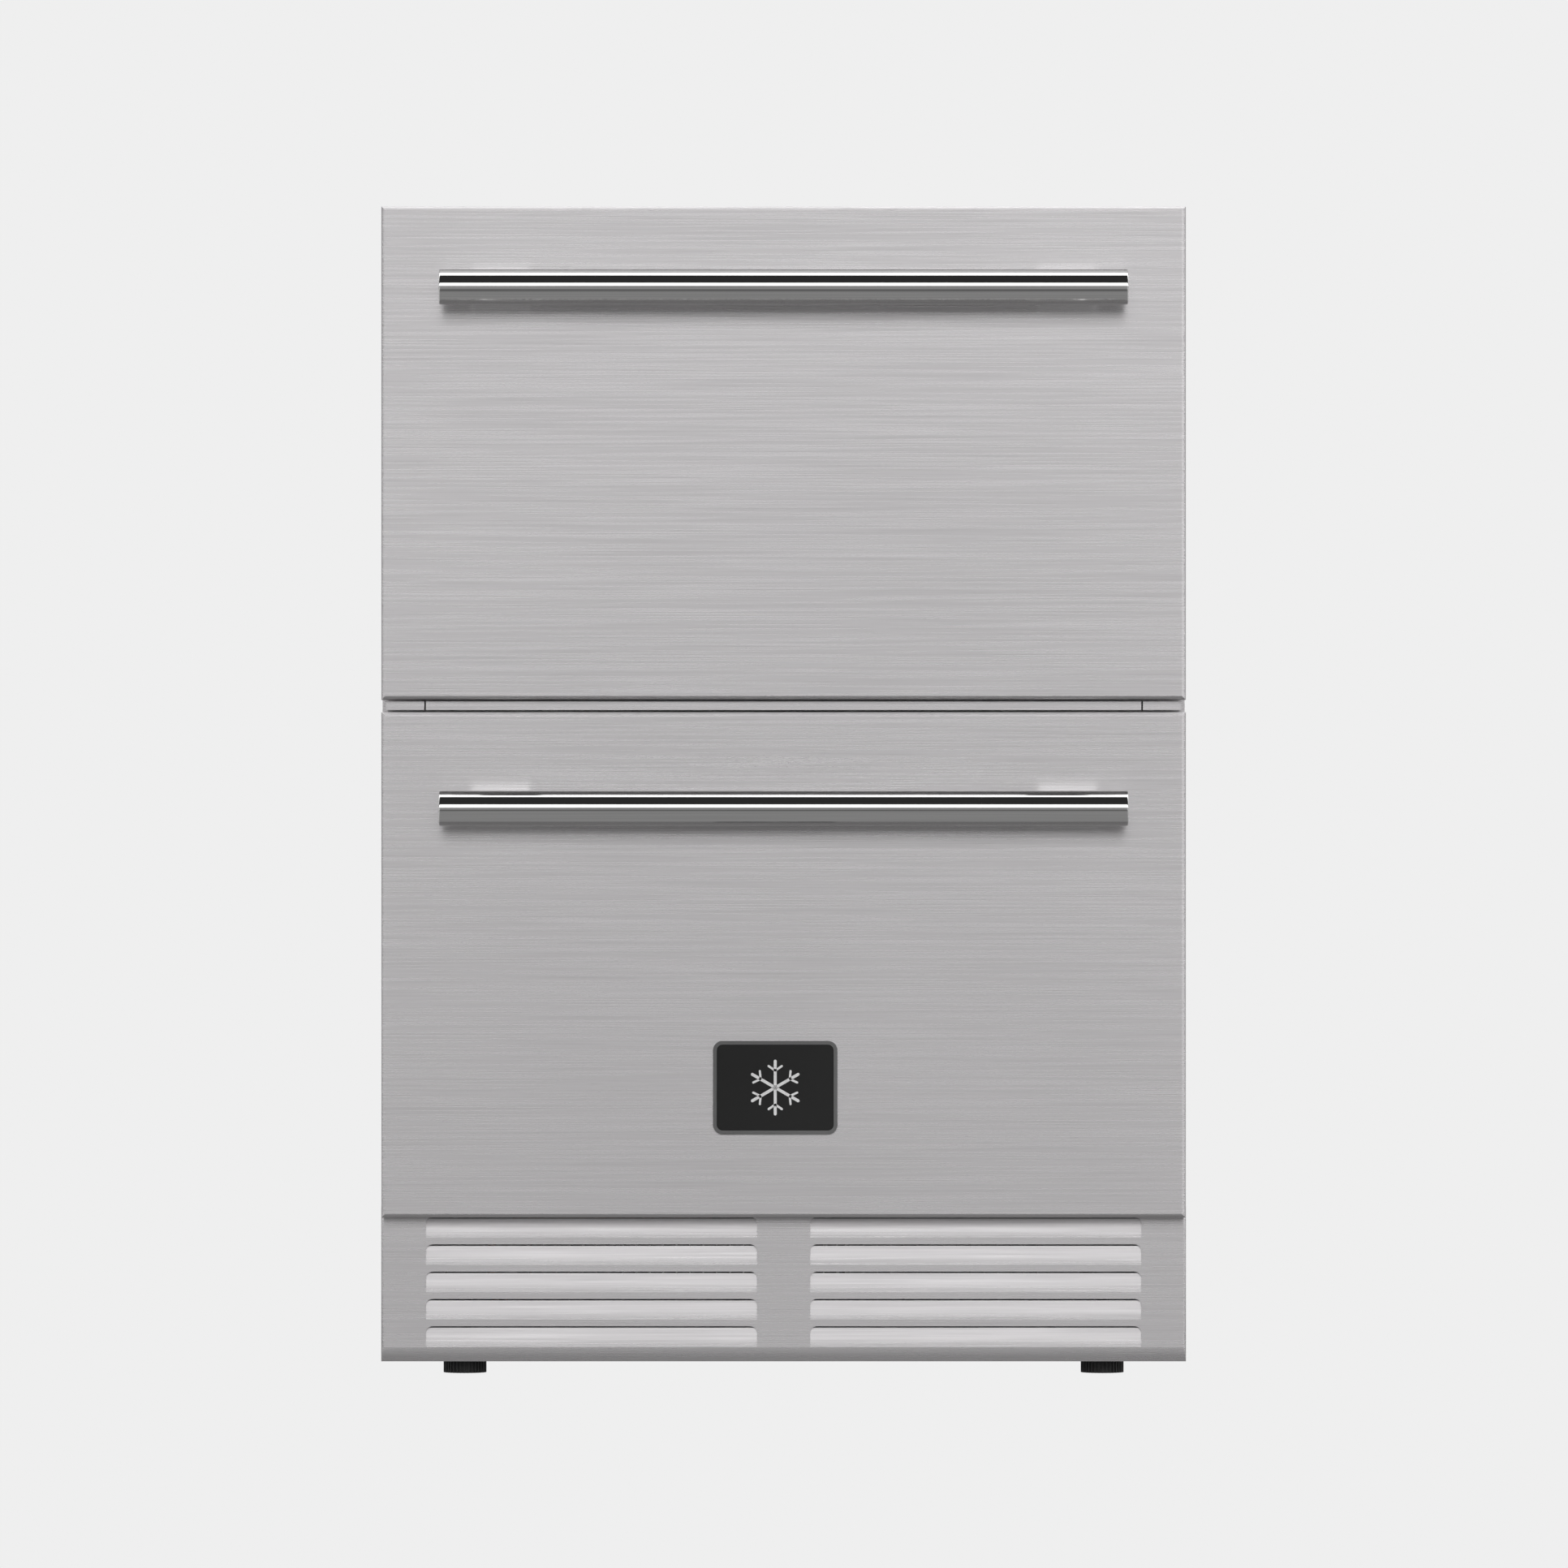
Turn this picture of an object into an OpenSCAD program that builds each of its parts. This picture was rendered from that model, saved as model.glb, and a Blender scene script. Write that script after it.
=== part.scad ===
/* [Overall size] */
// Width of the cabinet and of the toe grille
body_w = 597; // [580:1:640]
// Height from the floor to the top of the upper drawer front
overall_h = 866.5; // [860:0.5:880]
// Depth from the front of the handles to the screw heads at the back
overall_d = 627; // [620:1:650]

/* [Drawer fronts] */
// Width of each drawer front
front_w = 595; // [576:1:636]
// Height of the upper drawer front
upper_front_h = 365; // [350:1:370]
// Height of the lower drawer front
lower_front_h = 374; // [370:1:376]
// Gap between the two drawer fronts
front_gap = 9; // [6:1:10]
// Depth of the folded steel skin
skin_d = 24; // [20:1:26]
// Depth of the inner panel behind the skin
panel_d = 20; // [18:1:22]
// How far the inner panel is set in from the skin's edge
panel_inset = 12; // [12:1:14]
// Radius of the skin's front edges
skin_edge_r = 3; // [1:0.5:4]

/* [Handles] */
// Diameter of the handle tube
handle_dia = 26; // [22:1:28]
// Length of the handle tube
handle_len = 507; // [480:1:520]
// Clear gap between the tube and the drawer front
handle_gap = 26; // [22:1:30]
// Height of the upper handle's axis above the floor
upper_handle_z = 805.1; // [790:0.1:815]
// Height of the lower handle's axis above the floor
lower_handle_z = 421.5; // [400:0.1:430]
// Distance of each standoff from the middle
post_x = 210; // [190:1:220]

/* [Badge] */
// Width of the badge
badge_w = 92; // [70:1:110]
// Height of the badge
badge_h = 69; // [50:1:80]
// Height of the badge's centre above the floor
badge_z = 214.9; // [200:0.1:240]
// Sideways place of the badge's centre
badge_x = -6.2; // [-20:0.1:20]

/* [Toe grille] */
// Gap between the floor and the grille
grille_z = 11; // [8:1:14]
// Height of the grille
grille_h = 115; // [114:1:116]
// Number of louvre rows
louvre_rows = 5; // [3:1:5]
// Width of one louvre
louvre_w = 245.4; // [200:0.2:246]
// Height of one louvre slot
louvre_h = 14.4; // [12:0.2:15]
// Distance from one louvre row to the next
louvre_pitch = 20.25; // [20:0.05:20.5]

/* [Hidden] */
$fn = 48;

// Small amount that carries a cut clear of a face
cut = 1;
// Gap left between neighbouring pieces
gap = 0.1;

// Sheet thicknesses
case_t = 1;
skin_t = 1.2;
liner_t = 2;
panel_t = 1.5;
bin_t = 1.2;

// Planes from front to back, along Y
handle_r = handle_dia / 2;
y_handle = -overall_d / 2 + handle_r;
y_face = y_handle + handle_r + handle_gap;
y_skin_back = y_face + skin_d;
y_panel_back = y_skin_back + panel_d;
gasket_space = 9;
y_cab = y_panel_back + gasket_space;
y_grille = y_skin_back + 1;
screw_head = 1.8;
y_back = overall_d / 2 - screw_head;
y_sheet = y_back - skin_t;
y_flange = y_sheet - case_t;
y_in = y_cab + case_t + gap;

// Heights of the drawer fronts
upper_front_z = overall_h - upper_front_h;
lower_front_z = upper_front_z - front_gap - lower_front_h;
mid_z = upper_front_z - front_gap / 2;

// Folded nose of the cabinet that closes the gap between the drawer fronts
y_nose = y_face + 10;
nose_low = mid_z - front_gap / 2 + 1.6;
nose_high = mid_z + front_gap / 2 - 1;
nose_slit = 1.2;
nose_end = 4;

// Cabinet shell
case_z = 20;
top_clear = 3.5;
top_z = overall_h - top_clear;
wall = 32.5;
half_w = body_w / 2;
cavity_x = half_w - wall;
ceiling_z = top_z - 32;
floor_z = 162;
mullion_h = 60;
mullion_d = 40;
sill_z = 127;

// Machine compartment and the stepped cavity above it
deck_z = 130;
step_z = 290;
step_y = 95;
foam_t = 29;
deck_step_y = step_y + foam_t + 1;
deck_top_z = step_z - liner_t - foam_t - 1;
liner_y = 282;

// Slides: half heights of the three nested members
rail_t = 1.2;
rail_cab_h = 22.5;
rail_mid_h = 20.8;
rail_drw_h = 15.7;
bin_x = 252;
rail_y = -200;
upper_rail_z = 650;
lower_rail_z = 350;
upper_rail_len = 410;
lower_rail_len = 288;

// Bins
upper_bin_z = 533;
upper_bin_h = 247;
upper_bin_y = 205;
lower_bin_z = 172;
lower_bin_h = 268;
lower_bin_y = 85;
bin_corner = 6;
bin_rim = 6;

// Feet
foot_r = 16;
foot_h = 17;
foot_stem_r = 5;
foot_top = 56;
foot_x = 238;
foot_front_y = -178;
foot_rear_y = 262;
foot_ribs = 36;
fit_gap = 0.05;

// Fans
fan_w = 92;
fan_d = 25;
fan_bore = 42;
rotor_r = 40;
hub_r = 17;
fan_blades = 7;
cond_fan = [0, -148, case_z + 1.6 + fan_w / 2];
evap_fan = [0, 227.6, 702];

// Coils: half length, front plane, base height, rows and the pitch of the rows
coil_d = 40;
coil_r = 3.5;
coil_stub = 4;
cond_coil = [190, -196, case_z + 1.6, 4, 23];
evap_coil = [180, 238, 420, 8, 25];

// Compressor
comp_x = -60;
comp_y = 218;
comp_r = 72;
comp_plate_z = 40;
comp_hole_x = 75;
comp_hole_y = 48;

// Control console
console_w = 150;
console_y = -192;
console_d = 70;
console_h = 27;
button_r = 5;
button_z = ceiling_z - 15;
button_xs = [-58, -38, 38, 58];

// Suction line's channel through the foam at the back
riser = [-206, 296];
riser_w = 14;
riser_top = evap_coil[2] + evap_coil[4] * (evap_coil[3] - 0.5);
suction_r = 4;
liquid_r = 3;
capillary_r = 1;
capillary_dx = 5.4;
capillary_dz = 6;
line_clear = 0.4;
drier_r = 9;

steel = "silver";
zinc = "lightgray";
dark = "dimgray";
white = "whitesmoke";
copper = "peru";

// Extrudes a Y-Z outline across X from x0 to x1
module across_x(x0, x1) {
    translate([x0, 0, 0])
        rotate([90, 0, 90])
            linear_extrude(height = x1 - x0)
                children();
}

// Extrudes an X-Z outline along Y from y0 to y1
module along_y(y0, y1) {
    translate([0, y1, 0])
        rotate([90, 0, 0])
            linear_extrude(height = y1 - y0)
                children();
}

// Extrudes an X-Y outline along Z from z0 to z1
module along_z(z0, z1) {
    translate([0, 0, z0])
        linear_extrude(height = z1 - z0)
            children();
}

// Box between two corners
module box(low, high) {
    translate(low)
        cube(high - low);
}

// Flat rectangle between two corners
module rect(low, high) {
    translate(low)
        square(high - low);
}

// Rectangle with its four corners rounded
module round_rect(low, high, r) {
    rect([low[0] + r, low[1]], [high[0] - r, high[1]]);
    rect([low[0], low[1] + r], [high[0], high[1] - r]);
    for (x = [low[0] + r, high[0] - r], y = [low[1] + r, high[1] - r])
        translate([x, y])
            circle(r = r);
}

// Copies the children to the mirrored side
module both_sides() {
    children();
    mirror([1, 0, 0])
        children();
}

// ---- Cabinet shell ----

// Right side panel: outer sheet, front flange and rear flange folded from one sheet
module side_panel() {
    along_z(case_z, top_z - case_t) {
        rect([half_w - case_t, y_cab], [half_w, y_sheet]);
        rect([cavity_x, y_cab], [half_w, y_cab + case_t]);
        rect([half_w - 20, y_flange], [half_w, y_sheet]);
    }
    // Nose, open behind where it joins the front flange
    difference() {
        box([cavity_x, y_nose, nose_low], [half_w - nose_end, y_cab + case_t, nose_high]);
        box([cavity_x - cut, y_nose + case_t, nose_low + case_t],
            [half_w - nose_end - case_t, y_cab, nose_high - case_t]);
    }
}

module side_panel_right() {
    color(steel)
        difference() {
            side_panel();
            screw_holes();
        }
}

module side_panel_left() {
    color(steel)
        difference() {
            mirror([1, 0, 0])
                side_panel();
            screw_holes();
        }
}

// Top panel with its front fascia and rear flange
module top_panel() {
    color(steel)
        difference() {
            union() {
                box([-half_w, y_cab, top_z - case_t], [half_w, y_sheet, top_z]);
                box([-cavity_x + gap, y_cab, ceiling_z], [cavity_x - gap, y_cab + case_t, top_z]);
                box([-half_w + 21, y_flange, top_z - 14], [half_w - 21, y_sheet, top_z]);
            }
            screw_holes();
        }
}

// Rail under the lower cavity's mouth
module front_sill() {
    color(steel)
        across_x(-cavity_x + gap, cavity_x - gap) {
            rect([y_cab, sill_z], [y_cab + case_t, floor_z]);
            rect([y_cab, sill_z], [y_cab + 18, sill_z + case_t]);
        }
}

// Bar across the cavity's mouth between the two drawers
module mullion() {
    color(steel)
        across_x(-cavity_x + gap, cavity_x - gap)
            difference() {
                rect([y_cab, mid_z - mullion_h / 2], [y_cab + mullion_d, mid_z + mullion_h / 2]);
                rect([y_cab + skin_t, mid_z - mullion_h / 2 + skin_t],
                     [y_cab + mullion_d - skin_t, mid_z + mullion_h / 2 - skin_t]);
                rect([y_cab + mullion_d - 2 * skin_t, mid_z - 15],
                     [y_cab + mullion_d + cut, mid_z + 15]);
            }
    // Nose, shorter than the bar so that a slit shows at each end
    color(steel)
        across_x(-cavity_x + nose_slit, cavity_x - nose_slit)
            difference() {
                rect([y_nose, nose_low], [y_cab + skin_t, nose_high]);
                rect([y_nose + skin_t, nose_low + skin_t], [y_cab, nose_high - skin_t]);
            }
}

// Places of the screws that hold the back panel and the rear cover
function screw_places() = concat(
    [for (side = [-1, 1], z = [40, 236, 280, 560, 800]) [side * (half_w - 11), z]],
    [for (x = [-160, 0, 160]) [x, top_z - 8]]
);

module screw_holes() {
    for (p = screw_places())
        translate([p[0], y_back + cut, p[1]])
            rotate([90, 0, 0])
                cylinder(h = 20, r = 2.2);
}

// Pan-head screws through the back panels into the flanges
module panel_screws() {
    color(zinc)
        for (p = screw_places())
            translate([p[0], overall_d / 2, p[1]])
                rotate([90, 0, 0])
                    difference() {
                        union() {
                            cylinder(h = screw_head, r = 4);
                            cylinder(h = screw_head + 7, r = 2);
                        }
                        for (turn = [0, 90])
                            rotate([0, 0, turn])
                                box([-2.2, -0.4, -cut], [2.2, 0.4, 0.9]);
                    }
}

module back_panel() {
    color(zinc)
        difference() {
            box([-half_w + 1.5, y_sheet, deck_top_z + case_t], [half_w - 1.5, y_back, top_z - 1.5]);
            screw_holes();
            // Two pressed stiffening grooves
            for (x = [-130, 130])
                box([x - 10, y_back - 0.5, 320], [x + 10, y_back + cut, 790]);
        }
}

// Cover of the compressor bay with rows of vent slots
module rear_cover() {
    vent_h = 44;
    color(zinc)
        difference() {
            box([-half_w + 1.5, y_sheet, case_z + 1.6], [half_w - 1.5, y_back, deck_top_z + case_t - gap]);
            screw_holes();
            along_y(y_sheet - cut, y_back + cut) {
                for (z = [104, 168], x = [-190 : 20 : 210])
                    round_rect([x - 2.5, z], [x + 2.5, z + vent_h], 2.4);
                rect([-264, 46], [-236, 66]);
            }
        }
}

// Shallow pan that closes the bottom and carries the feet
module base_pan() {
    pan_x = half_w - case_t - gap;
    pan_y = y_flange - gap;
    color(zinc)
        difference() {
            union() {
                box([-pan_x, y_in, case_z], [pan_x, pan_y, case_z + 1.5]);
                for (x = [-pan_x, pan_x - 1.5])
                    box([x, y_in, case_z], [x + 1.5, pan_y, case_z + 16]);
                for (y = [y_in, pan_y - 1.5])
                    box([-pan_x, y, case_z], [pan_x, y + 1.5, case_z + 16]);
                for (x = [-foot_x, foot_x], y = [foot_front_y, foot_rear_y])
                    translate([x, y, case_z])
                        cylinder(h = 16, r = 10);
            }
            for (x = [-foot_x, foot_x], y = [foot_front_y, foot_rear_y])
                translate([x, y, case_z - cut])
                    cylinder(h = 20, r = foot_stem_r + fit_gap);
        }
}

// Stepped sheet between the machine compartment and the foam
module machine_deck() {
    deck_x = half_w - case_t - gap;
    deck_y = y_flange - gap;
    color(zinc)
        difference() {
            across_x(-deck_x, deck_x) {
                rect([y_in, deck_z], [deck_step_y + case_t, deck_z + case_t]);
                rect([deck_step_y, deck_z], [deck_step_y + case_t, deck_top_z + case_t]);
                rect([deck_step_y, deck_top_z], [deck_y, deck_top_z + case_t]);
            }
            deck_line_holes();
        }
}

// Channel that the suction line and the capillary run in through the foam
module riser_channel() {
    box([riser[0] - riser_w / 2, riser[1] - riser_w / 2, deck_top_z - cut],
        [riser[0] + riser_w / 2, riser[1] + riser_w / 2, riser_top + riser_w / 2]);
    box([riser[0] - riser_w / 2, liner_y - cut, riser_top - riser_w / 2],
        [riser[0] + riser_w / 2, riser[1] + riser_w / 2, riser_top + riser_w / 2]);
}

// Close-fitting holes where both lines rise through the deck
module deck_line_holes() {
    along_z(deck_top_z - cut, deck_top_z + case_t + cut) {
        translate(riser)
            circle(r = suction_r + line_clear);
        translate([riser[0] + capillary_dx, riser[1]])
            circle(r = capillary_r + line_clear);
    }
}

// Close-fitting holes where both lines pass forward through the liner's back
module liner_line_holes() {
    along_y(liner_y - cut, liner_y + liner_t + cut) {
        translate([riser[0], riser_top])
            circle(r = suction_r + line_clear);
        translate([riser[0] + capillary_dx, riser_top - capillary_dz])
            circle(r = capillary_r + line_clear);
    }
}

// Stepped outline of the cavity, grown outwards by a thickness
module cavity_outline(grow, front) {
    polygon([
        [front, floor_z - grow],
        [step_y + grow, floor_z - grow],
        [step_y + grow, step_z - grow],
        [liner_y + grow, step_z - grow],
        [liner_y + grow, ceiling_z + grow],
        [front, ceiling_z + grow]
    ]);
}

module foam_core() {
    foam_x = half_w - case_t - gap;
    color("khaki")
        difference() {
            across_x(-foam_x, foam_x)
                polygon([
                    [y_in, deck_z + case_t + gap],
                    [deck_step_y - gap, deck_z + case_t + gap],
                    [deck_step_y - gap, deck_top_z + case_t + gap],
                    [y_flange - gap, deck_top_z + case_t + gap],
                    [y_flange - gap, top_z - case_t - gap],
                    [y_in, top_z - case_t - gap]
                ]);
            across_x(-cavity_x - liner_t - gap, cavity_x + liner_t + gap)
                cavity_outline(liner_t + gap, y_in - cut);
            // Room for the fascia fold of the sill
            box([-cavity_x, y_in - cut, deck_z], [cavity_x, y_in + 0.5, floor_z]);
            riser_channel();
            screw_holes();
        }
}

module inner_liner() {
    color(white)
        difference() {
            across_x(-cavity_x - liner_t, cavity_x + liner_t)
                cavity_outline(liner_t, y_in);
            across_x(-cavity_x, cavity_x)
                cavity_outline(0, y_in - cut);
            liner_line_holes();
        }
}

// ---- Toe grille ----

louvre_x = 142.5;
louvre_z = grille_z + 11.7;
louvre_tilt_low = 2;
louvre_tilt_high = 11;
louvre_gap = 1.2;
louvre_set_back = 0.9;
louvre_r = 5;
slot_depth = 3;
lip_h = 0.9;
lip_d = 0.2;
cheek_t = 1;
cheek_step = 0.3;
cheek_front = 0.6;
cheek_rear = 4.2;
cheek_drop = 2;
cheek_top_gap = 0.5;
grille_bend_h = 10.5;
grille_bend_r = 42;
grille_side_bend = 2;

// Side view outline of the grille, shrunk inwards by a thickness: its foot curves gently back
module grille_side(shrink, back) {
    low = grille_z + shrink;
    high = grille_z + grille_h - shrink;
    front = y_grille + shrink;
    bend_z = grille_z + grille_bend_h;
    r = grille_bend_r - shrink;
    rect([front, bend_z], [back, high]);
    intersection() {
        translate([front + r, bend_z])
            circle(r = r);
        rect([front - cut, low], [back, bend_z + grille_bend_h]);
    }
}

// Plan outline of the grille, shrunk inwards by a thickness
module grille_plan(shrink, back) {
    x = half_w - shrink;
    front = y_grille + shrink;
    r = grille_side_bend - shrink;
    rect([-x, front + r], [x, back]);
    rect([-x + r, front], [x - r, front + 2 * r]);
    for (side = [-1, 1])
        translate([side * (x - r), front + r])
            circle(r = r);
}

// Front view of a louvre: round upper corners and square lower corners
module louvre_outline(w, low, high, r) {
    rect([-w / 2, low], [w / 2, high - r]);
    rect([-w / 2 + r, low], [w / 2 - r, high]);
    for (side = [-1, 1])
        translate([side * (w / 2 - r), high - r])
            circle(r = r);
}

// Blade of one louvre: it curves back from the slot's lower edge and stops below the upper one
module louvre_blade(z) {
    t = 1;
    tip = z + louvre_h - louvre_gap;
    end_x = louvre_w / 2 + cheek_step + cheek_t / 2;
    curve_r = (tip - z) / (louvre_tilt_high - louvre_tilt_low) * 180 / PI;
    centre_y = y_grille + louvre_set_back + curve_r * cos(louvre_tilt_low);
    centre_z = z - curve_r * sin(louvre_tilt_low);
    across_x(-end_x, end_x)
        intersection() {
            translate([centre_y, centre_z])
                difference() {
                    circle(r = curve_r, $fn = 96);
                    circle(r = curve_r - t, $fn = 96);
                }
            rect([y_grille, z - t], [y_grille + 8, tip]);
        }
}

// Cheeks close the two ends of a blade, just outside the slot
module louvre_cheeks(z) {
    inner_x = louvre_w / 2 + cheek_step;
    for (side = [-1, 1])
        translate([side * (inner_x + cheek_t / 2), 0, 0])
            across_x(-cheek_t / 2, cheek_t / 2)
                rect([y_grille + cheek_front, z - cheek_drop],
                    [y_grille + cheek_rear, z + louvre_h - cheek_top_gap]);
}

// Cut that slopes the lower lip of a louvre slot
module lip_cut(z) {
    across_x(-louvre_w / 2, louvre_w / 2)
        polygon([
            [y_grille - lip_d, z - 2 * lip_h],
            [y_grille + lip_d, z],
            [y_grille + lip_d, z + cut],
            [y_grille - lip_d, z + cut]
        ]);
}

module toe_grille() {
    y_end = y_cab - gap;
    color(steel) {
        difference() {
            intersection() {
                across_x(-half_w, half_w)
                    grille_side(0, y_end);
                along_z(grille_z, grille_z + grille_h)
                    grille_plan(0, y_end);
            }
            intersection() {
                across_x(-half_w, half_w)
                    grille_side(skin_t, y_end + cut);
                along_z(grille_z, grille_z + grille_h)
                    grille_plan(skin_t, y_end + cut);
            }
            for (row = [0 : louvre_rows - 1], side = [-1, 1])
                along_y(y_grille - cut, y_grille + slot_depth)
                    translate([side * louvre_x, louvre_z + row * louvre_pitch])
                        louvre_outline(louvre_w, 0, louvre_h, louvre_r);
            for (row = [0 : louvre_rows - 1], side = [-1, 1])
                translate([side * louvre_x, 0, 0])
                    lip_cut(louvre_z + row * louvre_pitch);
        }
        for (row = [0 : louvre_rows - 1], side = [-1, 1])
            translate([side * louvre_x, 0, 0]) {
                louvre_blade(louvre_z + row * louvre_pitch);
                louvre_cheeks(louvre_z + row * louvre_pitch);
            }
    }
}

// ---- Feet ----

// Ribbed levelling foot with its threaded stem
module foot(x, y) {
    color("black")
        translate([x, y, 0]) {
            along_z(0, foot_h) {
                circle(r = foot_r - 0.8);
                for (k = [0 : foot_ribs - 1])
                    rotate([0, 0, k * 360 / foot_ribs])
                        rect([foot_r - 2, -0.6], [foot_r, 0.6]);
            }
            cylinder(h = foot_top, r = foot_stem_r);
        }
}

module foot_front_left() { foot(-foot_x, foot_front_y); }
module foot_front_right() { foot(foot_x, foot_front_y); }
module foot_rear_left() { foot(-foot_x, foot_rear_y); }
module foot_rear_right() { foot(foot_x, foot_rear_y); }

// ---- Cooling machinery ----

// Finned coil: plate fins on one serpentine tube, with both stubs at its left end
module finned_coil(coil) {
    half_len = coil[0];
    pitch = coil[4];
    height = coil[3] * pitch;
    end_x = half_len + coil_stub;
    for (x = [-half_len : 10 : half_len])
        box([x - 0.4, coil[1], coil[2]], [x + 0.4, coil[1] + coil_d, coil[2] + height]);
    for (row = [0 : coil[3] - 1]) {
        row_z = coil[2] + pitch * (row + 0.5);
        for (lane = [0, 1])
            translate([-end_x, coil[1] + coil_d * (0.25 + lane / 2), row_z])
                rotate([0, 90, 0])
                    cylinder(h = 2 * end_x, r = coil_r);
        // Bend that joins the row's two lanes at the right end
        translate([end_x, coil[1] + coil_d / 2, row_z])
            rotate([0, 0, -90])
                rotate_extrude(angle = 180)
                    translate([coil_d / 4, 0])
                        circle(r = coil_r);
        // Bend up to the next row at the left end, on the lane where this row ends
        if (row < coil[3] - 1)
            translate([-end_x, coil[1] + coil_d * (0.75 - (row % 2) / 2), row_z + pitch / 2])
                rotate([90, 0, 0])
                    rotate([0, 0, 90])
                        rotate_extrude(angle = 180)
                            translate([pitch / 2, 0])
                                circle(r = coil_r);
    }
}

module condenser_coil() {
    color(zinc)
        finned_coil(cond_coil);
}

module evaporator_coil() {
    color(zinc)
        finned_coil(evap_coil);
}

// Place of a coil's stub: its first row or its last
function stub(coil, row) = [
    -coil[0] - coil_stub - gap,
    coil[1] + coil_d / 4,
    coil[2] + coil[4] * (row + 0.5)
];

// Square fan frame with a round duct and three struts to the motor
module fan_frame(place) {
    color(dark)
        translate(place)
            difference() {
                along_y(0, fan_d)
                    difference() {
                        round_rect([-fan_w / 2, -fan_w / 2], [fan_w / 2, fan_w / 2], 5);
                        difference() {
                            circle(r = fan_bore);
                            circle(r = hub_r + 1);
                            for (k = [0 : 2])
                                rotate([0, 0, 90 + k * 120])
                                    rect([0, -2], [fan_bore + cut, 2]);
                        }
                        circle(r = 2.05);
                    }
                // The struts and the motor keep to the back of the frame
                along_y(-cut, fan_d - 6)
                    circle(r = fan_bore);
            }
}

// Hub, shaft and tilted blades
module fan_rotor(place) {
    color("darkslategray")
        translate(place) {
            along_y(2, fan_d - 7)
                circle(r = hub_r);
            along_y(fan_d - 8, fan_d - 1)
                circle(r = 2);
            intersection() {
                along_y(2, fan_d - 7)
                    circle(r = rotor_r);
                for (k = [0 : fan_blades - 1])
                    rotate([0, k * 360 / fan_blades, 0])
                        translate([hub_r - 3, fan_d / 2 - 2.5, 0])
                            rotate([38, 0, 0])
                                box([0, -0.8, -14], [rotor_r, 0.8, 14]);
            }
        }
}

module condenser_fan_frame() { fan_frame(cond_fan); }
module condenser_fan_rotor() { fan_rotor(cond_fan); }
module evaporator_fan_frame() { fan_frame(evap_fan); }
module evaporator_fan_rotor() { fan_rotor(evap_fan); }

// Hermetic shell on its mounting plate, with the terminal box on its side
module compressor() {
    can_low = comp_plate_z + 3;
    can_h = 88;
    dome_r = 105;
    dome_z = can_low + can_h - sqrt(dome_r * dome_r - comp_r * comp_r);
    color(dark)
        difference() {
            translate([comp_x, comp_y, 0])
                union() {
                    box([-comp_hole_x - 16, -comp_hole_y - 16, comp_plate_z],
                        [comp_hole_x + 16, comp_hole_y + 16, comp_plate_z + 3]);
                    rotate_extrude()
                        union() {
                            rect([0, can_low - 1], [comp_r, can_low + can_h]);
                            rect([0, can_low + 40], [comp_r + 4, can_low + 46]);
                            intersection() {
                                translate([0, dome_z])
                                    circle(r = dome_r, $fn = 96);
                                rect([0, can_low + can_h - cut], [comp_r, can_low + can_h + 60]);
                            }
                        }
                    box([-comp_r - 18, -22, can_low + 55], [-comp_r + 12, 22, can_low + 87]);
                }
            for (sx = [-1, 1], sy = [-1, 1])
                translate([comp_x + sx * comp_hole_x, comp_y + sy * comp_hole_y, comp_plate_z - cut])
                    cylinder(h = 6, r = 8.1);
        }
}

module compressor_grommets() {
    pan_top = case_z + 1.5;
    color("black")
        for (sx = [-1, 1], sy = [-1, 1])
            translate([comp_x + sx * comp_hole_x, comp_y + sy * comp_hole_y, pan_top])
                union() {
                    cylinder(h = comp_plate_z - pan_top - gap, r = 12);
                    cylinder(h = comp_plate_z - pan_top + 6, r = 8);
                    translate([0, 0, comp_plate_z - pan_top + 3 + gap])
                        cylinder(h = 4, r = 11);
                }
}

// Straight pipe between two points
module pipe(a, b, r) {
    d = b - a;
    flat = norm([d[0], d[1]]);
    translate(a)
        rotate([0, atan2(flat, d[2]), atan2(d[1], d[0])])
            cylinder(h = norm(d), r = r);
}

// Run of pipe with brazed elbows at its corners, each elbow's poles turned clear of the pipes
module pipe_run(points, r) {
    for (k = [0 : len(points) - 2])
        pipe(points[k], points[k + 1], r);
    for (k = [1 : len(points) - 2])
        translate(points[k])
            rotate([33, 27, 0])
                sphere(r = r * 1.3);
}

// Discharge line from the shell to the condenser, along the left side
module discharge_line() {
    start = [comp_x, comp_y - comp_r - gap, 70];
    end = stub(cond_coil, cond_coil[3] - 1);
    lane_x = -218;
    pipe_run([
        start,
        [comp_x, 112, start[2]],
        [lane_x, 112, start[2]],
        [lane_x, end[1], start[2]],
        [lane_x, end[1], end[2]],
        end
    ], liquid_r);
}

// Liquid line through the filter drier, then the capillary up to the evaporator
module liquid_line() {
    start = stub(cond_coil, 0);
    end = stub(evap_coil, 0);
    lane_x = -212;
    drier_z = 48;
    pipe_run([
        start,
        [lane_x, start[1], start[2]],
        [lane_x, -120, start[2]],
        [lane_x, -120, drier_z],
        [lane_x, -60, drier_z]
    ], liquid_r);
    pipe([lane_x, -70, drier_z], [lane_x, 20, drier_z], drier_r);
    side_x = riser[0] + capillary_dx;
    turn_z = riser_top - capillary_dz;
    pipe_run([
        [lane_x, 10, drier_z],
        [lane_x, 80, drier_z],
        [side_x, 80, drier_z],
        [side_x, riser[1], drier_z],
        [side_x, riser[1], turn_z],
        [side_x, 274, turn_z],
        [riser[0] - 3, 274, turn_z],
        [riser[0] - 3, 274, end[2]],
        [riser[0] - 3, end[1], end[2]],
        end
    ], capillary_r);
}

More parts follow.
